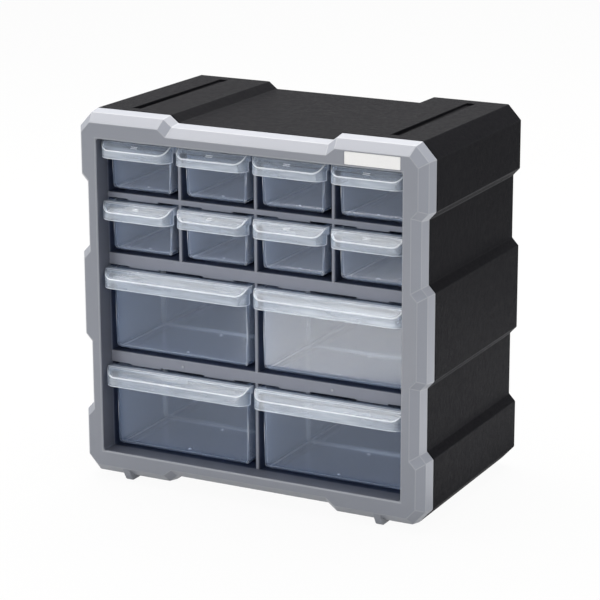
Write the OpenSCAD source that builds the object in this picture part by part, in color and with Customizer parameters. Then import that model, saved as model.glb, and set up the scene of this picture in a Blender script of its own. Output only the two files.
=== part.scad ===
// Parts bin cabinet: a black tub housing closed by a grey bezel, with a liner
// sleeve, shelves and dividers that form twelve cells, and one clear drawer in
// each cell. The front faces -Y, +X is to the viewer's right and +Z is up.
// The origin is the middle of the footprint, on the surface it stands on.

/* [Cells] */
// Width of a small cell; a large cell is two of them and a divider wide
cell_w = 56.9; // [50:0.1:70]
// Height of a small cell
small_cell_h = 40; // [34:0.1:60]
// Height of a large cell
large_cell_h = 63.2; // [50:0.1:80]
// Thickness of an upright divider
divider_t = 1.9; // [1.5:0.1:4]
// Height of the shelf between two rows of small drawers
thin_shelf_h = 3.6; // [3:0.1:6]
// Height of the shelf above a row of large drawers
thick_shelf_h = 8.1; // [7:0.1:12]

/* [Case] */
// Frame width beside the cells, out to the corner blocks
side_margin = 16.85; // [16:0.05:30]
// Frame height below the cells
bottom_margin = 17.5; // [16:0.1:30]
// Frame height above the cells
top_margin = 18.5; // [18:0.1:30]
// Depth of the black housing
housing_d = 143; // [132:1:180]
// Depth of the bezel in front of the housing
bezel_d = 15.9; // [14:0.1:20]
// Wall thickness of the housing and the bezel
case_wall = 2.2; // [1.5:0.1:2.6]
// Wall thickness of the liner sleeve
liner_wall = 1.8; // [1.2:0.1:2]
// Inset of the housing's outline at its back, from mould draft
housing_draft = 1.28; // [0:0.01:1.5]

/* [Blocks and recesses] */
// Width and height of the chamfer on each corner
corner_chamfer = [10.2, 11.1]; // [6:0.1:12]
// Depth of the recesses in the two sides
side_recess = 4.86; // [3:0.01:5]
// Depth of the recesses in the top and the bottom
end_recess = 5; // [3:0.1:5]
// Height of the top of each corner block's side face above the base
corner_block_h = 46.3; // [30:0.1:60]
// Height of the sloped step between a block and a recess
step_h = 5.2; // [3:0.1:8]
// Height of the flat part of each side recess
side_recess_h = 44.1; // [20:0.1:50]
// Half width of the flat part of the top and bottom recesses
end_recess_x = 58.9; // [30:0.1:80]
// Width of the sloped step beside the top and bottom recesses
end_step_w = 6.4; // [3:0.1:10]

/* [Bezel] */
// Depth of the bezel's outer side wall, before the bevel
bezel_side_d = 9.05; // [6:0.05:10]
// Inset of that wall at its front, from mould draft
bezel_draft = 1.4; // [0:0.1:2]
// Inset of the flat front face at the sides
bevel_side = 6.1; // [4:0.1:8]
// Inset of the flat front face at the top and the bottom
bevel_end = 7.4; // [4:0.1:9]
// How far the collar stands inside the cells at the sides
collar_step = 0.6; // [0:0.05:0.8]
// How far the collar stands above the floor of the bottom cells
collar_sill = 1.15; // [0:0.05:1.5]
// How far the cells sit behind the bezel's rear plane, negative is in front
grid_y = -1.2; // [-3:0.1:0]

/* [Stacking] */
// Centre distance of each groove and runner from the middle
runner_x = 98.4; // [80:0.1:105]
// Width of a runner
runner_w = 5.2; // [3:0.1:6]
// Height of a runner
runner_h = 2.8; // [1.5:0.1:3]
// Width of a groove
groove_w = 6.3; // [4:0.1:8]
// Depth of a groove at its front end
groove_depth = 3; // [2:0.1:4]
// Distance of a groove's front end behind the bezel
groove_start = 10; // [8.5:0.5:18]
// Length of a groove
groove_len = 123.4; // [100:0.1:124]

/* [Wall hanging] */
// Diameter of a keyhole's round head opening
keyhole_head_d = 9; // [7:0.5:12]
// Width of a keyhole's slot
keyhole_slot_w = 4.6; // [3:0.1:6]

/* [Drawers] */
// Gap between a drawer's rim and the cell's sides
rim_gap = 1.1; // [1.1:0.1:1.5]
// Gap between a drawer's rim and the cell's ceiling
rim_drop = 1.5; // [1.3:0.1:2]
// Height of a drawer's underside above the cell's floor
floor_lift = 2.4; // [2:0.1:4]
// Distance of a drawer's body from the cell's side, halfway up
body_gap = 4.85; // [3:0.05:7]
// Draft of a drawer's side wall, from mid height to its rim or its floor
body_draft = 0.5; // [0:0.1:1]
// Wall thickness of a drawer's body
drawer_wall = 1.4; // [1:0.1:2]
// Radius of a drawer's bottom edges
body_r = 4.5; // [2:0.1:6]
// Depth position of a drawer's back edge, behind the bezel's rear plane
drawer_back = 124.8; // [100:0.1:125]
// Depth position of the front of a drawer's pull
pull_front = -14.5; // [-15:0.1:-12]
// Wall thickness of the pull and the rim
rim_t = 1.3; // [1:0.1:2]
// Plan radius of the pull's corners
pull_r = 8; // [4:0.5:8]

/* [Hidden] */
$fn = 48;
// How far a cut runs past what it cuts, and two solids of one moulding overlap
past = 1;
overlap = 0.2;
COLUMNS = [4, 4, 2, 2];
ROW_H = [small_cell_h, small_cell_h, large_cell_h, large_cell_h];
SHELF_H = [thin_shelf_h, thick_shelf_h, thick_shelf_h];
SHELVES = ["shelf_upper", "shelf_middle", "shelf_lower"];
FIXED = ["housing", "bezel", "inner_frame", "label_plate"];

function divider_name(row, col) = str("divider_r", row + 1, "c", col + 1);
function drawer_name(row, col) = str("drawer_r", row + 1, "c", col + 1);
DIVIDERS = [for (row = [0:3]) for (col = [0:COLUMNS[row] - 2]) divider_name(row, col)];
DRAWERS = [for (row = [0:3]) for (col = [0:COLUMNS[row] - 1]) drawer_name(row, col)];

// Rows are counted from the top. Heights are above the bezel's base and depths
// behind its rear plane, until placed() moves a piece into the cabinet's frame.
function sum_from(list, i) = i >= len(list) ? 0 : list[i] + sum_from(list, i + 1);
function cell_floor(row) = bottom_margin + sum_from(ROW_H, row + 1) + sum_from(SHELF_H, row);
function cell_ceiling(row) = cell_floor(row) + ROW_H[row];
pitch = cell_w + divider_t;
function column_w(row) = pitch * 4 / COLUMNS[row];
function column_x(row, col) = column_w(row) * (col + 0.5 - COLUMNS[row] / 2);
function cell_width(row) = column_w(row) - divider_t;

cells_half_w = 2 * pitch - divider_t / 2;
case_half_w = cells_half_w + side_margin;
case_h = cell_ceiling(0) + top_margin;
liner_half_w = cells_half_w + liner_wall;
liner_back = housing_d - case_wall;
join_y = (bezel_d - housing_d) / 2;

// Shadow gap where the housing meets the bezel
reveal = 0.6;
reveal_d = 0.7;
// Spigot behind the bezel that enters the housing's mouth
spigot_inset = case_wall + 0.3;
spigot_t = 1.8;
spigot_d = 6;
spigot_root = 4;
// Collar between the bezel's face and the cells
collar_wall = 2;
collar_r = 1.6;
lip = 0.8;
// Nose of each runner on the bezel: length of its level part and its radius
nose_flat = 8;
nose_r = 3.5;
// Width of the bar that backs each groove inside the housing
groove_backing = groove_w + 2 * case_wall;
// Keyholes, each behind the middle of an outer cell of the top row
keyhole_x = 1.5 * pitch;
keyhole_down = 42;
keyhole_z = case_h - keyhole_down;
keyhole_drop = 9;
// Label plate on the bezel's face, right of the middle
label_size = [41, 9.2];
label_x = 74;
label_t = 0.5;
label_gap_above = 8;
// Floor rails, rear stops and the lugs that hold an open drawer
rail_h = 2.1;
rail_w = 2;
rail_setback = 8;
rail_inset = 12;
rear_stop_h = 5;
rear_stop_t = 3;
clearance = 0.3;
lug_w = 24;
lug_h = 1;
lug_t = 1.7;
// Tab on a drawer's back rim that catches on a lug
tab_w = 16;
tab_h = 1.1;
// Pull: height of its upright skirt and of the whole pull
SKIRT_H = [5.8, 5.8, 7, 7];
PULL_H = [11.8, 11.8, 12.8, 12.8];
pull_top_back = 8;
return_y = -5.5;
return_h = 5.5;
body_front = -2.8;
upright_r = 2.7;
rim_overhang = 0.8;
rim_corner_r = 3;
// Divider slots of a large drawer and the round gate mark in its floor
slot_y = 61;
slot_gap = 2;
slot_rib = 1;
slot_clear_top = 12;
gate_d = 3;
gate_h = 0.3;

CASE_BLACK = [0.13, 0.13, 0.14];
FRAME_GREY = [0.53, 0.55, 0.6];
CLEAR_PLASTIC = [0.8, 0.86, 0.92, 0.55];
LABEL_WHITE = [0.95, 0.95, 0.94];

module placed() {
    translate([0, join_y, runner_h]) children();
}

// ---- outline of the case, anticlockwise seen from the front ----
quarter = [
    [end_recess_x, end_recess],
    [end_recess_x + end_step_w, 0],
    [case_half_w - corner_chamfer[0], 0],
    [case_half_w, corner_chamfer[1]],
    [case_half_w, corner_block_h],
    [case_half_w - side_recess, corner_block_h + step_h],
    [case_half_w - side_recess, corner_block_h + step_h + side_recess_h],
    [case_half_w, corner_block_h + 2 * step_h + side_recess_h],
];
function reversed(points) = [for (i = [len(points) - 1:-1:0]) points[i]];
function flip_x(points) = reversed([for (p = points) [-p[0], p[1]]]);
function flip_z(points) = reversed([for (p = points) [p[0], case_h - p[1]]]);
right_side = concat(quarter, flip_z(quarter));
outline = concat(right_side, flip_x(right_side));

// An outline moved inwards, by side at an upright edge and by end at a level one
function edge(points, i) = points[(i + 1) % len(points)] - points[i];
function inward(e) = [-e[1], e[0]] / norm(e);
function moved(points, i, side, end) =
    let (n = inward(edge(points, i)))
    points[i] + n * norm([side * n[0], end * n[1]]);
function cross2(a, b) = a[0] * b[1] - a[1] * b[0];
function inset(points, side, end) = [
    for (i = [0:len(points) - 1])
        let (
            before = (i + len(points) - 1) % len(points),
            p = moved(points, before, side, end),
            q = moved(points, i, side, end),
            d = edge(points, before),
            e = edge(points, i)
        )
        p + d * cross2(q - p, e) / cross2(d, e)
];
function rectangle(half_w, low, high) = [[half_w, low], [half_w, high], [-half_w, high], [-half_w, low]];

// Solid that runs from one outline to another of as many points, front to back.
// Each end is a fan of triangles about its middle.
module loft(front, front_y, back, back_y) {
    n = len(front);
    points = concat(
        [for (p = front) [p[0], front_y, p[1]]],
        [for (p = back) [p[0], back_y, p[1]]],
        [[0, front_y, case_h / 2], [0, back_y, case_h / 2]]
    );
    faces = [
        for (i = [0:n - 1])
            let (j = (i + 1) % n)
            each [[j, j + n, i + n, i], [2 * n, j, i], [2 * n + 1, i + n, j + n]]
    ];
    polyhedron(points, faces);
}

// Ring between two insets of the outline, from one depth to another
module case_ring(outer, inner, front_y, back_y) {
    wide = inset(outline, outer, outer);
    narrow = inset(outline, inner, inner);
    difference() {
        loft(wide, front_y, wide, back_y);
        loft(narrow, front_y - past, narrow, back_y + past);
    }
}

// Section drawn in Y and Z, extruded along X about the middle
module across(width) {
    rotate([90, 0, 90]) linear_extrude(width, center = true) children();
}

// Section drawn in X and Z, extruded back from one depth to another
module along(front_y, back_y) {
    translate([0, back_y, 0]) rotate([90, 0, 0]) linear_extrude(back_y - front_y) children();
}

// Block centred on x, between two depths and two heights
module block(x, width, y, z) {
    translate([x - width / 2, y[0], z[0]]) cube([width, y[1] - y[0], z[1] - z[0]]);
}

module rounded_rectangle(size, r) {
    square([size[0] - 2 * r, size[1]], center = true);
    square([size[0], size[1] - 2 * r], center = true);
    for (x = [-1, 1]) for (y = [-1, 1])
        translate([x * (size[0] / 2 - r), y * (size[1] / 2 - r)]) circle(r);
}

// ---- housing ----
module housing_shell() {
    rear = housing_draft;
    loft(inset(outline, reveal, reveal), 0, inset(outline, reveal, reveal), reveal_d);
    loft(outline, reveal_d, inset(outline, rear, rear), housing_d);
}

module housing_hollow() {
    rear = housing_draft + case_wall;
    difference() {
        loft(inset(outline, case_wall, case_wall), -overlap, inset(outline, rear, rear), liner_back);
        for (side = [-1, 1])
            block(side * runner_x, groove_backing,
                [groove_start - case_wall, groove_start + groove_len + case_wall],
                [case_h - groove_depth - case_wall, case_h]);
    }
}

module groove() {
    block(runner_x, groove_w, [groove_start, groove_start + groove_len],
        [case_h - groove_depth, case_h + past]);
}

module runner() {
    block(runner_x, runner_w, [0, groove_len - nose_flat - nose_r], [-runner_h, case_wall]);
}

module keyhole() {
    along(liner_back - past, housing_d + past) {
        translate([0, keyhole_z]) circle(d = keyhole_head_d);
        translate([0, keyhole_z + keyhole_drop]) circle(d = keyhole_slot_w);
        translate([-keyhole_slot_w / 2, keyhole_z]) square([keyhole_slot_w, keyhole_drop]);
    }
}

module housing() {
    color(CASE_BLACK) placed() difference() {
        union() {
            housing_shell();
            for (side = [0, 1]) mirror([side, 0, 0]) runner();
        }
        housing_hollow();
        for (side = [0, 1]) mirror([side, 0, 0]) groove();
        for (side = [-1, 1]) translate([side * keyhole_x, 0, 0]) keyhole();
    }
}

// ---- bezel ----
opening_low = bottom_margin + collar_sill;
opening_high = cell_ceiling(0);
opening_half_w = cells_half_w - collar_step;

module bezel_outer() {
    wall = inset(outline, bezel_draft, bezel_draft);
    loft(wall, -bezel_side_d, outline, 0);
    loft(inset(outline, bevel_side, bevel_end), -bezel_d, wall, -bezel_side_d);
}

module bezel_hollow() {
    t = case_wall;
    wall = inset(outline, bezel_draft + t, bezel_draft + t);
    difference() {
        union() {
            loft(wall, -bezel_side_d, inset(outline, t, t), overlap);
            loft(inset(outline, bevel_side + t, bevel_end + t), t - bezel_d, wall, -bezel_side_d);
        }
        block(0, 2 * (opening_half_w + collar_wall), [-bezel_d, grid_y],
            [opening_low - collar_wall, opening_high + collar_wall]);
    }
}

// Blade under the bezel that leads into a runner. Its front edge falls from the
// face's lower edge to a tangent on its round nose.
module nose() {
    tip = [-bezel_d, bevel_end];
    centre = [-nose_flat, nose_r - runner_h];
    reach = centre - tip;
    slope = atan2(reach[1], reach[0]) - asin(nose_r / norm(reach));
    touch = tip + sqrt(reach * reach - nose_r * nose_r) * [cos(slope), sin(slope)];
    translate([runner_x, 0, 0]) across(runner_w) {
        polygon([tip, touch, centre, [-nose_flat, bevel_end / 2]]);
        translate(centre) circle(nose_r);
        translate([-nose_flat, -runner_h]) square([nose_flat, runner_h + case_wall]);
    }
}

module bezel() {
    middle = (opening_low + opening_high) / 2;
    height = opening_high - opening_low;
    color(FRAME_GREY) placed() difference() {
        union() {
            difference() {
                bezel_outer();
                bezel_hollow();
            }
            case_ring(case_wall - overlap, spigot_inset + spigot_t, -spigot_root, 0);
            case_ring(spigot_inset, spigot_inset + spigot_t, -overlap, spigot_d);
            for (side = [0, 1]) mirror([side, 0, 0]) nose();
        }
        along(-bezel_d - past, spigot_d + past) translate([0, middle])
            rounded_rectangle([2 * opening_half_w, height], collar_r);
        loft(rectangle(opening_half_w + lip, opening_low - lip, opening_high + lip), -bezel_d,
            rectangle(opening_half_w, opening_low, opening_high), lip - bezel_d);
        label_space();
    }
}

// ---- label plate ----
module label_space() {
    block(label_x + label_size[0] / 2, label_size[0], [-bezel_d, label_t - bezel_d],
        [case_h - label_gap_above - label_size[1], case_h - label_gap_above]);
}

module label_plate() {
    color(LABEL_WHITE) placed() label_space();
}

// ---- cells ----
// Rails and rear stops on a cell's floor, for every cell of a row
module rails(row) {
    rail_x = cell_width(row) / 2 - rail_inset;
    stop_y = drawer_back + clearance;
    for (col = [0:COLUMNS[row] - 1]) for (side = [-1, 1])
        translate([column_x(row, col) + side * rail_x, 0, cell_floor(row)]) {
            block(0, rail_w, [grid_y + rail_setback, stop_y], [0, rail_h]);
            block(0, rail_w, [stop_y, stop_y + rear_stop_t], [0, rear_stop_h]);
        }
}

// Lugs under the front edge of a row's ceiling, one over each small cell's width
module lugs(row) {
    for (col = [0:3])
        block((col - 1.5) * pitch, lug_w, [grid_y, grid_y + lug_t],
            [cell_ceiling(row) - lug_h, cell_ceiling(row)]);
}

module inner_frame() {
    color(FRAME_GREY) placed() {
        difference() {
            block(0, 2 * liner_half_w, [grid_y, liner_back],
                [bottom_margin - liner_wall, cell_ceiling(0) + liner_wall]);
            block(0, 2 * cells_half_w, [grid_y - past, liner_back + past],
                [bottom_margin, cell_ceiling(0)]);
        }
        rails(3);
        lugs(0);
    }
}

// Shelf between a row and the row below it: a front band, the floor of the
// cells above, the ceiling of the cells below where it is thick, and ribs
module shelf(row) {
    low = cell_ceiling(row + 1);
    high = cell_floor(row);
    skin = liner_wall;
    pocket_low = high - low > 3 * skin ? low + skin : low - past;
    color(FRAME_GREY) placed() {
        difference() {
            block(0, 2 * cells_half_w, [grid_y, liner_back], [low, high]);
            for (bay = [-2:1])
                block((bay + 0.5) * pitch, pitch - skin, [grid_y + skin, liner_back + past],
                    [pocket_low, high - skin]);
        }
        rails(row);
        lugs(row + 1);
    }
}

module divider(row, col) {
    color(FRAME_GREY) placed()
        block(column_x(row, col) + column_w(row) / 2, divider_t, [grid_y, liner_back],
            [cell_floor(row), cell_ceiling(row)]);
}

// ---- drawers ----
// Section of a drawer's body, from its underside up to its rim
module tub_section(width, height, r) {
    top = width / 2 + body_draft;
    base = width / 2 - body_draft;
    polygon([[-base + r, 0], [base - r, 0], [base, r], [top, height], [-top, height], [-base, r]]);
    for (side = [-1, 1]) translate([side * (base - r), r]) circle(r);
}

module tub(width, front_y, back_y, height, r, upright_r) {
    length = back_y - front_y;
    middle = (front_y + back_y) / 2;
    intersection() {
        along(front_y, back_y) tub_section(width, height, r);
        translate([0, middle, 0]) across(width + 2 * past) tub_section(length - 2 * body_draft, height, r);
        translate([0, middle, 0]) linear_extrude(height)
            rounded_rectangle([width + 2 * body_draft, length], upright_r);
    }
}

// Pull seen from the side, measured down from the rim
module pull_side(front_y, back_y, top, skirt, depth, base) {
    polygon([
        [back_y, top],
        [-pull_top_back, top],
        [front_y, skirt - depth],
        [front_y, base],
        [back_y, base],
    ]);
}

module pull_plan(width, front_y, back_y, r) {
    translate([-width / 2, front_y + r]) square([width, back_y - front_y - r]);
    translate([r - width / 2, front_y]) square([width - 2 * r, r]);
    for (side = [-1, 1]) translate([side * (width / 2 - r), front_y + r]) circle(r);
}

module pull(width, skirt, depth) {
    inner_front = pull_front + rim_t;
    web = body_front + drawer_wall;
    difference() {
        intersection() {
            translate([0, 0, -depth]) linear_extrude(depth) pull_plan(width, pull_front, web, pull_r);
            across(width) difference() {
                pull_side(pull_front, web, 0, skirt, depth, -depth);
                translate([return_y, -depth - past])
                    square([web - return_y + past, depth + past - return_h]);
            }
        }
        intersection() {
            translate([0, 0, -depth - past]) linear_extrude(depth + past)
                pull_plan(width - 2 * rim_t, inner_front, body_front, pull_r - rim_t);
            across(width)
                pull_side(inner_front, body_front, -rim_t, skirt - rim_t / 2, depth, -depth - past);
        }
    }
}

// Paired ribs on the walls and the floor that hold a loose divider card
module divider_slot(width, height) {
    for (side = [-1, 1]) {
        y = slot_y + side * (slot_gap + slot_rib) / 2;
        difference() {
            block(0, width + 2 * drawer_wall, [y - slot_rib / 2, y + slot_rib / 2],
                [drawer_wall / 2, height - slot_clear_top]);
            block(0, width - 2 * (slot_rib + body_draft), [y - slot_rib, y + slot_rib],
                [drawer_wall + slot_rib, height]);
        }
    }
}

module drawer(row, col) {
    height = ROW_H[row] - rim_drop - floor_lift;
    rim_w = cell_width(row) - 2 * rim_gap;
    body_w = cell_width(row) - 2 * body_gap;
    body_back = drawer_back - rim_overhang;
    inner_w = body_w - 2 * drawer_wall;
    large = COLUMNS[row] == 2;
    tab_x = large ? [-pitch / 2, pitch / 2] : [0];
    color(CLEAR_PLASTIC) placed() translate([column_x(row, col), 0, cell_floor(row) + floor_lift]) {
        difference() {
            union() {
                tub(body_w, body_front, body_back, height, body_r, upright_r);
                translate([0, 0, height - rim_t]) linear_extrude(rim_t)
                    mirror([0, 1]) pull_plan(rim_w, -drawer_back, -body_front, rim_corner_r);
                translate([0, 0, height]) pull(rim_w, SKIRT_H[row], PULL_H[row]);
            }
            translate([0, 0, drawer_wall])
                tub(inner_w, body_front + drawer_wall, body_back - drawer_wall, height,
                    body_r - drawer_wall, upright_r - drawer_wall);
        }
        for (x = tab_x)
            block(x, tab_w, [drawer_back - drawer_wall, drawer_back], [height - rim_t, height + tab_h]);
        translate([0, slot_y, drawer_wall]) cylinder(d = gate_d, h = gate_h);
        if (large) intersection() {
            divider_slot(inner_w, height);
            tub(body_w - drawer_wall, body_front, body_back, height, body_r, upright_r);
        }
    }
}

housing();
bezel();
inner_frame();
label_plate();
for (row = [0:2]) shelf(row);
for (row = [0:3]) for (col = [0:COLUMNS[row] - 2])
    divider(row, col);
for (row = [0:3]) for (col = [0:COLUMNS[row] - 1])
    drawer(row, col);
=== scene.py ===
import math

import bmesh
import bpy
from mathutils import Matrix, Vector


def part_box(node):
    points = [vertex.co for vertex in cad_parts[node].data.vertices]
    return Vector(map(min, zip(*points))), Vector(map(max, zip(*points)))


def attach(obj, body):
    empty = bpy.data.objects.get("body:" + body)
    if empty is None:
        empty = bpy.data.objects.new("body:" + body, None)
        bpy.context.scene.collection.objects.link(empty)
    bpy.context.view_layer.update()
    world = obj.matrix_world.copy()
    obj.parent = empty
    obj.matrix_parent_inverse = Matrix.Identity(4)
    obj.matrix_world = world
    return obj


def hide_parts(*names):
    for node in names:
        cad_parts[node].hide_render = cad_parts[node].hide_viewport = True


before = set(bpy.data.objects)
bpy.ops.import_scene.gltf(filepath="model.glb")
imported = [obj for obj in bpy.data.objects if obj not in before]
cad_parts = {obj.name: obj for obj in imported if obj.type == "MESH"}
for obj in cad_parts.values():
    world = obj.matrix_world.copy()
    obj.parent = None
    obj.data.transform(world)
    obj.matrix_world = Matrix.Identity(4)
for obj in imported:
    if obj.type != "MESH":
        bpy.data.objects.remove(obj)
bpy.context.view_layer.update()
scene = bpy.context.scene
scene.view_settings.view_transform = "Standard"

# ---- Housing ----
# A black tub of injection-moulded polypropylene with a fine matt grain. Raised
# blocks at its corners and sides lend it stiffness, and two grooves in its top
# take the runners of a cabinet stacked above.
MM = 0.001
HOUSING_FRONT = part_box("housing")[0].y
HOUSING_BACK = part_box("housing")[1].y
HOUSING_EDGE = 0.5 * MM
SIDE_FORM = 126 * MM
UNDERSIDE = 8.5 * MM
TOP_FORM = 256 * MM
LOWEST_LEDGE = 20 * MM
# Shares of painted highlight on the housing's ledges and on its other rounded edges.
LEDGE_HIGHLIGHT = 0.2
EDGE_HIGHLIGHT = 0.12


class Wire:
    """A shader socket; arithmetic on it adds Math nodes to its material."""

    def __init__(self, finish, socket):
        self.finish, self.socket = finish, socket

    def maths(self, operation, *terms):
        return self.finish.node("ShaderNodeMath", {"operation": operation}, dict(enumerate(terms)))

    def __add__(self, other):
        return self.maths("ADD", self, other)

    def __mul__(self, other):
        return self.maths("MULTIPLY", self, other)

    def __pow__(self, other):
        return self.maths("POWER", self, other)

    def __lt__(self, other):
        return self.maths("LESS_THAN", self, other)

    __radd__ = __add__
    __rmul__ = __mul__


class Finish:
    """A material, or the studio's light, with one method that adds any node to it."""

    def __init__(self, owner, **plain):
        owner.use_nodes = True
        self.owner, self.tree = owner, owner.node_tree
        self.outlet = next(n for n in self.tree.nodes if n.type.startswith("OUTPUT"))
        self.shader = next(n for n in self.tree.nodes if n != self.outlet)
        self.shade(**plain)

    def node(self, kind, settings={}, sockets={}, out=0):
        made = self.tree.nodes.new(kind)
        for name, value in settings.items():
            setattr(made, name, value)
        for name, value in sockets.items():
            self.plug(made.inputs[name], value)
        return Wire(self, made.outputs[out])

    def plug(self, socket, value):
        if isinstance(value, Wire):
            self.tree.links.new(value.socket, socket)
        else:
            socket.default_value = value

    def shade(self, **sockets):
        for socket, value in sockets.items():
            self.plug(self.shader.inputs[socket.replace("_", " ")], value)

    def blend(self, factor, first, second):
        return self.node("ShaderNodeMixShader", {}, {0: factor, 1: first, 2: second})

    def cover(self, surface):
        self.plug(self.outlet.inputs["Surface"], surface)

    def place(self):
        return self.node("ShaderNodeTexCoord", out="Object")

    def noise(self, scale, detail, roughness=0.5):
        return self.node("ShaderNodeTexNoise", {}, {
            "Vector": self.place(), "Scale": scale, "Detail": detail, "Roughness": roughness,
        }, out="Fac")

    def mark(self, name):
        return self.node("ShaderNodeAttribute", {"attribute_name": name}, out="Fac")

    def colours(self, factor, low, high):
        low, high = ((*c, 1) if isinstance(c, tuple) else c for c in (low, high))
        return self.node("ShaderNodeMix", {"data_type": "RGBA"}, {
            "Factor": factor, 6: low, 7: high,
        }, out=2)

    def bumps(self, height, distance, strength):
        return self.node("ShaderNodeBump", {}, {
            "Height": height, "Distance": distance, "Strength": strength,
        }, out="Normal")


def plastic(name, **plain):
    return Finish(bpy.data.materials.new(name), **plain)


def merged(node):
    """A copy of a CAD node's mesh, with its triangles merged into faces."""
    bm = bmesh.new()
    bm.from_mesh(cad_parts[node].data)
    bmesh.ops.remove_doubles(bm, verts=bm.verts, dist=1e-6)
    bmesh.ops.dissolve_limit(bm, angle_limit=math.radians(0.4), verts=bm.verts, edges=bm.edges)
    return bm


def room(edge):
    """How far the narrower of an edge's two faces reaches away from it."""
    start, end = (v.co for v in edge.verts)
    way = (end - start).normalized()
    return min(max((v.co - start).cross(way).length for v in f.verts) for f in edge.link_faces)


def eased(bm, radius, angle, wanted=lambda edge: True):
    """Rounds the edges that turn by more than an angle in degrees and are wanted.

    The new narrow faces are marked 1 in the face attribute "edge".
    """
    mark = bm.faces.layers.float.get("edge") or bm.faces.layers.float.new("edge")
    sharp = [
        e for e in bm.edges
        if len(e.link_faces) == 2 and e.calc_face_angle() > math.radians(angle)
        and room(e) > 2.1 * radius and wanted(e)
    ]
    made = bmesh.ops.bevel(bm, geom=sharp, offset=radius, offset_type="OFFSET", segments=2,
                           profile=0.5, affect="EDGES", material=-1, clamp_overlap=False)
    for face in made["faces"]:
        face[mark] = 1.0
    return mark


def repacked(bm):
    """Reads a form in anew, and returns its "edge" attribute.

    A bevel leaves gaps behind, which the next operator fills in an order that
    changes from run to run. The form read in anew has none.
    """
    mesh = bpy.data.meshes.new("repacked")
    bm.to_mesh(mesh)
    bm.clear()
    bm.from_mesh(mesh)
    bpy.data.meshes.remove(mesh)
    return bm.faces.layers.float.get("edge")


def piece(name, bm, finish, body, slot, *nodes):
    """A finished piece that rides on a body and stands for CAD nodes."""
    mesh = bpy.data.meshes.new(name)
    bm.to_mesh(mesh)
    bm.free()
    mesh.materials.append(finish.owner)
    for polygon in mesh.polygons:
        polygon.use_smooth = True
    mesh.set_sharp_from_angle(angle=math.radians(35))
    made = bpy.data.objects.new(name, mesh)
    scene.collection.objects.link(made)
    made.modifiers.new("weights", "WEIGHTED_NORMAL").keep_sharp = True
    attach(made, body)
    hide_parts(*nodes)


black = plastic("housing_black", IOR=1.49, Specular_IOR_Level=0.02)
grain = black.noise(260, 6, 0.8)
cloud = black.noise(14, 3)
tone = black.colours(cloud, (0.002, 0.002, 0.003), (0.004, 0.004, 0.0054))
tone = black.colours(grain ** 2, tone, (0.011, 0.011, 0.014))
black.shade(
    # Painted highlight: the rounded edge faces are painted paler, towards a grey.
    Base_Color=black.colours(black.mark("edge") * 0.42, tone, (0.09, 0.09, 0.095)),
    Roughness=0.3 + grain * 0.5,
    Normal=black.bumps(grain, 0.0008, 0.7),
)


def outside(edge):
    """True for the edges of the housing's outer form that run back from the bezel."""
    middle = (edge.verts[0].co + edge.verts[1].co) / 2
    return middle.y > HOUSING_FRONT + 5 * MM and (
        abs(middle.x) > SIDE_FORM or middle.z < UNDERSIDE or middle.z > TOP_FORM
        or middle.y > HOUSING_BACK - HOUSING_EDGE
    )


shell = merged("housing")
mark = eased(shell, HOUSING_EDGE, 20, outside)
for face in shell.faces:
    # Painted highlight: the ledge faces under the side blocks are painted pale, and the other
    # rounded edges keep only a faint pale line.
    ledge = face.normal.z < -0.15 and abs(face.normal.x) > 0.3
    if ledge and face.calc_center_median().z > LOWEST_LEDGE:
        face[mark] = face[mark] * (1 - LEDGE_HIGHLIGHT) + LEDGE_HIGHLIGHT
    else:
        face[mark] *= EDGE_HIGHLIGHT
piece("case_housing", shell, black, "cabinet", "housing_black", "housing")

# ---- Bezel ----
# A satin grey frame moulded in polypropylene that snaps into the housing's
# mouth. Its face is flat, with a wide bevel round it and soft edges.
BEZEL_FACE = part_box("bezel")[0].y
BEZEL_EDGE = 0.4 * MM
OPENING_SIDE = 117 * MM
OPENING_LOW, OPENING_HIGH = 21 * MM, 247 * MM
COLLAR_START = BEZEL_FACE + 0.85 * MM
grey = plastic("bezel_grey", IOR=1.49)
grain = grey.noise(1500, 2)
cloud = grey.noise(9, 3)
tone = grey.colours(cloud, (0.24, 0.255, 0.295), (0.26, 0.276, 0.318))
# Painted highlight: the rounded edges are painted paler.
tone = grey.colours(grey.mark("edge") * 0.2, tone, (0.55, 0.56, 0.585))
grey.shade(
    # Painted shade: the collar faces inside the opening are painted a darker grey.
    Base_Color=grey.colours(grey.mark("reveal"), tone, (0.108, 0.117, 0.147)),
    Roughness=0.36 + grain * 0.1,
    Normal=grey.bumps(grain, 0.00008, 0.35),
)
bezel = merged("bezel")
eased(bezel, BEZEL_EDGE, 14, lambda e: min(v.co.y for v in e.verts) < HOUSING_FRONT + 0.1 * MM)
# The collar faces inside the opening, behind its front, are marked for painted shade.
reveal = bezel.faces.layers.float.new("reveal")
for face in bezel.faces:
    spot = face.calc_center_median()
    painted_shade_inside = abs(spot.x) < OPENING_SIDE and OPENING_LOW < spot.z < OPENING_HIGH
    face[reveal] = 1.0 if painted_shade_inside and spot.y > COLLAR_START else 0.0
piece("case_bezel", bezel, grey, "cabinet", "bezel_grey", "bezel")

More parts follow.
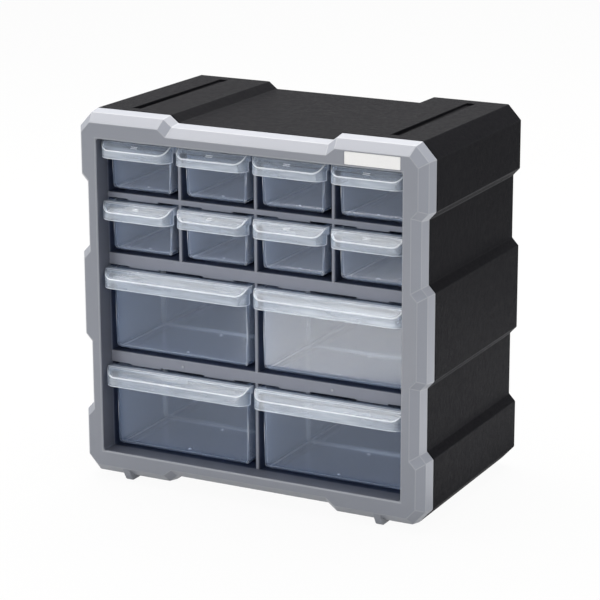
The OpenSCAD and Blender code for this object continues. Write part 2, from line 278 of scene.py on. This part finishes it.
# ---- Label plate ----
# A blank white vinyl plate, cut with rounded corners and pressed flush into a
# shallow pocket in the bezel's face.
LABEL_GAP = 0.3 * MM
LABEL_CORNER = 0.6 * MM
LABEL_EDGE = 0.12 * MM
white = plastic("label_white", IOR=1.46, Roughness=0.35)
fibre = white.noise(900, 2)
white.shade(
    Base_Color=white.colours(fibre, (0.9, 0.9, 0.9), (0.95, 0.95, 0.95)),
    Normal=white.bumps(fibre, 0.00005, 0.3),
)
label = merged("label_plate")
low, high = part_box("label_plate")
for vert in label.verts:
    vert.co.x += LABEL_GAP if vert.co.x < (low.x + high.x) / 2 else -LABEL_GAP
    vert.co.z += LABEL_GAP if vert.co.z < (low.z + high.z) / 2 else -LABEL_GAP
corners = [e for e in label.edges if abs(e.verts[0].co.y - e.verts[1].co.y) > 0.3 * MM]
bmesh.ops.bevel(label, geom=corners, offset=LABEL_CORNER, offset_type="OFFSET", segments=4,
                profile=0.5, affect="EDGES", material=-1)
repacked(label)
eased(label, LABEL_EDGE, 50)
piece("label_plate_blank", label, white, "cabinet", "label_white", "label_plate")

# ---- Liner, shelves and dividers ----
# The cells behind the bezel: a sleeve in the housing with shelves and uprights
# across it, moulded in the same grey polypropylene with a duller skin. Ejector
# pins left two round marks on the lowest shelf's front band.
CELL_EDGE = 0.25 * MM
BAND_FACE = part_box("shelf_lower")[0].y
PIN_SIDE = 58.3
PIN_LEVEL = 87.2
# Each step: radius and height in mm, and its share of painted highlight.
PIN_STEPS = ((1.5, 0.2, 0.4), (0.8, 0.35, 2.0))
dull = plastic("frame_grey", IOR=1.49, Specular_IOR_Level=0.3)
grain = dull.noise(1200, 2)
cloud = dull.noise(10, 3)
# Painted shade: the grey is painted darker and bluer from just in front of the housing's front,
# deeper into the cells.
depth = dull.node("ShaderNodeSeparateXYZ", {}, {"Vector": dull.place()}, out="Y")
painted_shade_inside = dull.node("ShaderNodeMapRange", {"interpolation_type": "SMOOTHSTEP"}, {
    "Value": depth, "From Min": HOUSING_FRONT - 1.1 * MM, "From Max": HOUSING_FRONT + 2 * MM,
})
tone = dull.colours(cloud, (0.235, 0.25, 0.3), (0.265, 0.28, 0.335))
tone = dull.colours(painted_shade_inside, tone, (0.045, 0.058, 0.1))
dull.shade(
    # Painted highlight: the rounded front edges and the pin marks are painted paler.
    Base_Color=dull.colours(dull.mark("edge") * 0.5, tone, (0.4, 0.42, 0.46)),
    Roughness=0.45 + grain * 0.12,
    Normal=dull.bumps(grain, 0.0001, 0.4),
)


def light_up(made, mark, share):
    """Marks the faces of a new form with a share of painted highlight."""
    for face in {f for v in made["verts"] for f in v.link_faces}:
        face[mark] = share


def pin_mark(bm, place, mark):
    """A small raised round, a low step with a narrower one on it."""
    turned = Matrix.Translation(place) @ Matrix.Rotation(math.radians(90), 4, "X")
    for radius, height, share in PIN_STEPS:
        made = bmesh.ops.create_cone(
            bm, cap_ends=True, segments=20, radius1=radius * MM, radius2=radius * 0.85 * MM,
            depth=height * MM, matrix=turned @ Matrix.Translation((0, 0, height * MM / 2)))
        light_up(made, mark, share)


for name in sorted(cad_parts):
    if name.startswith(("inner_frame", "shelf", "divider")):
        part = merged(name)
        mark = eased(part, CELL_EDGE, 40, lambda e: max(v.co.y for v in e.verts) < HOUSING_FRONT)
        if name == "shelf_lower":
            mark = repacked(part)
            for side in (-PIN_SIDE, PIN_SIDE):
                place = Vector((side, 0, PIN_LEVEL)) * MM + Vector((0, BAND_FACE, 0))
                pin_mark(part, place, mark)
        piece("cell_" + name, part, dull, "cabinet", "frame_grey", name)

# ---- Drawers ----
# Clear polypropylene, each drawer one thin-walled moulding with its pull. Its
# edges, corners and ribs are painted whiter than its walls as painted highlight,
# and its floor and rear wall carry a warm painted light.
DRAWER_EDGE = 0.38 * MM
PULL_ROOT = HOUSING_FRONT - 2.9 * MM
RIB_PLACE = HOUSING_FRONT + 61 * MM
RIB_REACH = 4 * MM
LARGE_DRAWER = 60 * MM
PIP_PLACES = (RIB_PLACE - 6 * MM, HOUSING_FRONT + 8 * MM)
PIP_LEVEL = 1.55 * MM
TAB = 1.1 * MM
SLOPE = math.atan2(6, 6.5)
DASH_PLACE = Vector((0, -11.25, -3)) * MM
DASH_SIZE = (5 * MM, 0.3 * MM, 0.3 * MM, 1)
DASH_STEPS = (-0.6, 0.6)
# Shares of painted highlight on raised marks, pull faces, ribs, corners and walls, and of warm
# painted light on floors and rear walls.
RAISED_MARK = 2.5
HOOD_FLAT, HOOD_SKIRT, HOOD_SLOPE = 0.4, 0.16, 0.02
RIB_GATE, RIB_TOP, RIB_FOOT = 1.0, 1.4, 0.8
CORNER_UPRIGHT, CORNER_LEVEL, CORNER_REST = 1.5, 0.5, 0.12
SIDE_WALL, FRONT_WALL, REAR_WALL = 0.55, 0.13, 0.25
WARM_LIGHT_SMALL, WARM_LIGHT_LARGE, WARM_LIGHT_REAR = 0.6, 0.25, 0.6
clear = plastic("drawer_clear", IOR=1.4, Transmission_Weight=1.0, Roughness=0.1,
                Base_Color=(0.92, 0.96, 1, 1))
stretched = clear.node("ShaderNodeMapping", {}, {"Vector": clear.place(), "Scale": (0.13, 1, 1)})
ripple = clear.node("ShaderNodeTexNoise", {}, {
    "Vector": stretched, "Scale": 190, "Detail": 3,
}, out="Fac")
depth = clear.node("ShaderNodeSeparateXYZ", {}, {"Vector": clear.place()}, out="Y")
hood = depth < PULL_ROOT
edge = clear.mark("edge")
glancing = clear.node("ShaderNodeLayerWeight", {}, {"Blend": 0.5}, out="Facing") ** 4
clear.shade(Normal=clear.bumps(ripple * hood, 0.0006, 0.3))
haze = clear.colours(hood, (0.4, 0.56, 0.9), (0.7, 0.77, 0.86))
# Painted light: floor and rear wall faces are painted a warm milk, and rounded edges a whiter milk
# as painted highlight.
warm_light = clear.mark("warm_light")
haze_and_light_colour = clear.colours(warm_light, clear.colours(edge, haze, (0.93, 0.96, 1)), (1, 0.84, 0.68))
milk = clear.node("ShaderNodeBsdfPrincipled", {}, {
    "Base Color": haze_and_light_colour, "Roughness": 0.3, "IOR": 1.45,
}, out="BSDF")
# The milk's share: a little real haze everywhere, more on the pull as frosted haze with painted
# highlight streaks, painted sheen where the surface turns from view, painted highlight on marked
# faces and warm painted light on floors and rear walls.
share = 0.055 + hood * ripple ** 2 * 0.6 + glancing * 0.15
share = share + edge * (0.35 + hood * 0.12) + warm_light * 0.3
body = clear.blend(share, Wire(clear, clear.shader.outputs["BSDF"]), milk)
lamp_ray = clear.node("ShaderNodeLightPath", out="Is Shadow Ray")
opened = clear.node("ShaderNodeBsdfTransparent", {}, {"Color": (0.7, 0.76, 0.84, 1)})
clear.cover(clear.blend(lamp_ray, body, opened))


def dash(bm, rim, step, mark):
    """A short raised bar on the slope of a small pull, one of a pair."""
    slope = Matrix.Rotation(SLOPE, 4, "X")
    place = Matrix.Translation(rim + DASH_PLACE) @ slope
    made = bmesh.ops.create_cube(bm, size=1, matrix=place @ Matrix.Translation(
        (0, step * MM, 0.02 * MM)) @ Matrix.Diagonal(DASH_SIZE))
    light_up(made, mark, RAISED_MARK)


def gather(bm, mark):
    """Paints light into a drawer: painted highlight on corners, ribs, rims, walls and pull faces,
    and warm painted light on its floor and rear wall.
    """
    warm_light = bm.faces.layers.float.new("warm_light")
    low = min(v.co.z for v in bm.verts)
    left, right = min(v.co.x for v in bm.verts), max(v.co.x for v in bm.verts)
    across = (left + right) / 2
    inner = WARM_LIGHT_SMALL if right - left < LARGE_DRAWER else WARM_LIGHT_LARGE
    for face in bm.faces:
        corners = [v.co for v in face.verts]
        level = face.calc_center_median().z
        front, rear = min(c.y for c in corners), max(c.y for c in corners)
        turn = [abs(n) for n in face.normal]
        if rear < PULL_ROOT + 1 * MM:
            if face[mark] == 0:
                flat, skirt = turn[2] > 0.95, turn[1] > 0.9
                face[mark] = HOOD_FLAT if flat else HOOD_SKIRT if skirt else HOOD_SLOPE
        elif all(abs(c.y - RIB_PLACE) < RIB_REACH for c in corners):
            gate = all(abs(c.x - across) < 2 * MM for c in corners)
            face[mark] = RIB_GATE if gate else RIB_TOP if level > low + 8 * MM else RIB_FOOT
        elif sorted(turn)[1] > 0.2 and face[mark] == 0:
            lit = any(0.8 < n < 0.95 for n in turn[1:])
            upright = CORNER_UPRIGHT if turn[1] < 0.2 else CORNER_LEVEL
            face[mark] = upright if lit else CORNER_REST
        elif turn[0] > 0.9:
            face[mark] = SIDE_WALL
        elif turn[1] > 0.9 and rear < PULL_ROOT + 2 * MM:
            face[mark] = FRONT_WALL
        elif turn[1] > 0.9 and front > RIB_PLACE:
            face[warm_light] = inner * WARM_LIGHT_REAR
            face[mark] = REAR_WALL
        elif face.normal.z > 0.95 and level < low + 3 * MM:
            face[warm_light] = inner


for name in sorted(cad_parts):
    if name.startswith("drawer"):
        tub = merged(name)
        mark = eased(tub, DRAWER_EDGE, 40)
        gather(tub, mark)
        mark = repacked(tub)
        low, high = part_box(name)
        centre = (low.x + high.x) / 2
        for spot in PIP_PLACES:
            made = bmesh.ops.create_cone(
                tub, cap_ends=True, segments=16, radius1=1.2 * MM, radius2=0.8 * MM, depth=0.4 * MM,
                matrix=Matrix.Translation((centre, spot, low.z + PIP_LEVEL)))
            light_up(made, mark, RAISED_MARK)
        if high.x - low.x < LARGE_DRAWER:
            for step in DASH_STEPS:
                dash(tub, Vector((centre, HOUSING_FRONT, high.z - TAB)), step, mark)
        piece("clear_" + name, tub, clear, name, "drawer_clear", name)

# ---- Floor, lights and camera ----
# A pale seamless sweep under plain soft light, from a box overhead, one at the
# left front and one at the right. Two cards on the floor show only in gloss and
# through the clear drawers.
GLOW = 0.95
SKY = 0.55
SWEEP = 6
WARM = (1, 0.97, 0.93)
CABINET_MIDDLE = (0, 0, 0.13)
CARD_TURN = math.radians(-28)
SENSOR = 36
FRAME = 600
FOCAL = 2518.116
AZIMUTH, ELEVATION, ROLL = (math.radians(x) for x in (27.5912, 15.7808, -0.1957))
AIM = Vector((0, 6.45, 132.8))
AWAY = Vector((-2.8983, -7.3877, 1776.0075))


def seen(nodes):
    """1 for rays from the camera, off gloss or through glass, which see the background."""
    share = 0
    for ray in ("Is Camera Ray", "Is Glossy Ray", "Is Transmission Ray"):
        share = nodes.node("ShaderNodeLightPath", out=ray) + share
    return nodes.node("ShaderNodeMath", {"operation": "MINIMUM"}, {0: share, 1: 1.0})


paper = plastic("paper", Base_Color=(0.5, 0.5, 0.5, 1), Roughness=0.8)
glow = paper.node("ShaderNodeEmission", {}, {"Color": (1, 1, 1, 1), "Strength": 1.0})
paper.cover(paper.blend(seen(paper) * GLOW, Wire(paper, paper.shader.outputs["BSDF"]), glow))
sheet = bmesh.new()
bmesh.ops.create_grid(sheet, x_segments=1, y_segments=1, size=SWEEP)
mesh = bpy.data.meshes.new("floor")
sheet.to_mesh(mesh)
sheet.free()
mesh.materials.append(paper.owner)
floor = bpy.data.objects.new("floor", mesh)
scene.collection.objects.link(floor)

scene.world = bpy.data.worlds.new("studio")
studio = Finish(scene.world, Color=(1, 1, 1, 1), Strength=SKY)
backdrop = studio.node("ShaderNodeBackground", {}, {"Color": (1, 1, 1, 1), "Strength": 1.0})
studio.cover(studio.blend(seen(studio), Wire(studio, studio.shader.outputs[0]), backdrop))


def softbox(name, place, size, power, colour=(1, 1, 1), aim=CABINET_MIDDLE):
    data = bpy.data.lights.new(name, "AREA")
    data.shape = "RECTANGLE"
    data.size, data.size_y = size
    data.energy = power
    data.color = colour
    lamp = bpy.data.objects.new(name, data)
    scene.collection.objects.link(lamp)
    lamp.location = place
    lamp.rotation_euler = (Vector(aim) - Vector(place)).to_track_quat("-Z", "Y").to_euler()
    return lamp


def card(name, place, size, power, colour=(1, 1, 1)):
    """A lamp that lies on the floor and faces up."""
    lamp = softbox(name, place, size, power, colour, aim=(*place[:2], 1))
    lamp.visible_camera = False
    lamp.visible_diffuse = False
    return lamp


softbox("overhead", (-0.4, 0.42, 1.5), (2.0, 1.5), 54, WARM)
softbox("left_front", (-1.0, -1.9, 0.75), (0.9, 0.9), 8.5)
softbox("right", (1.6, -0.18, 0.6), (0.8, 1.0), 7.5)
card("low_card", (-0.09, -0.39, 0.004), (0.16, 0.22), 0.56, WARM).rotation_euler.z = CARD_TURN
card("side_card", (0.3, 0.2, 0.004), (0.3, 0.45), 0.75)

back = Vector((math.sin(AZIMUTH) * math.cos(ELEVATION), -math.cos(AZIMUTH) * math.cos(ELEVATION),
               math.sin(ELEVATION)))
right = Vector((math.cos(AZIMUTH), math.sin(AZIMUTH), 0))
up = back.cross(right)
level = Matrix((right, up, back)).transposed()
turn = level @ Matrix.Rotation(ROLL, 3, "Z")
data = bpy.data.cameras.new("camera")
data.sensor_width = SENSOR
data.lens = FOCAL / FRAME * SENSOR
data.clip_start, data.clip_end = 0.05, 20
camera = bpy.data.objects.new("camera", data)
scene.collection.objects.link(camera)
camera.matrix_world = Matrix.Translation((AIM + turn @ AWAY) * MM) @ turn.to_4x4()
scene.camera = camera
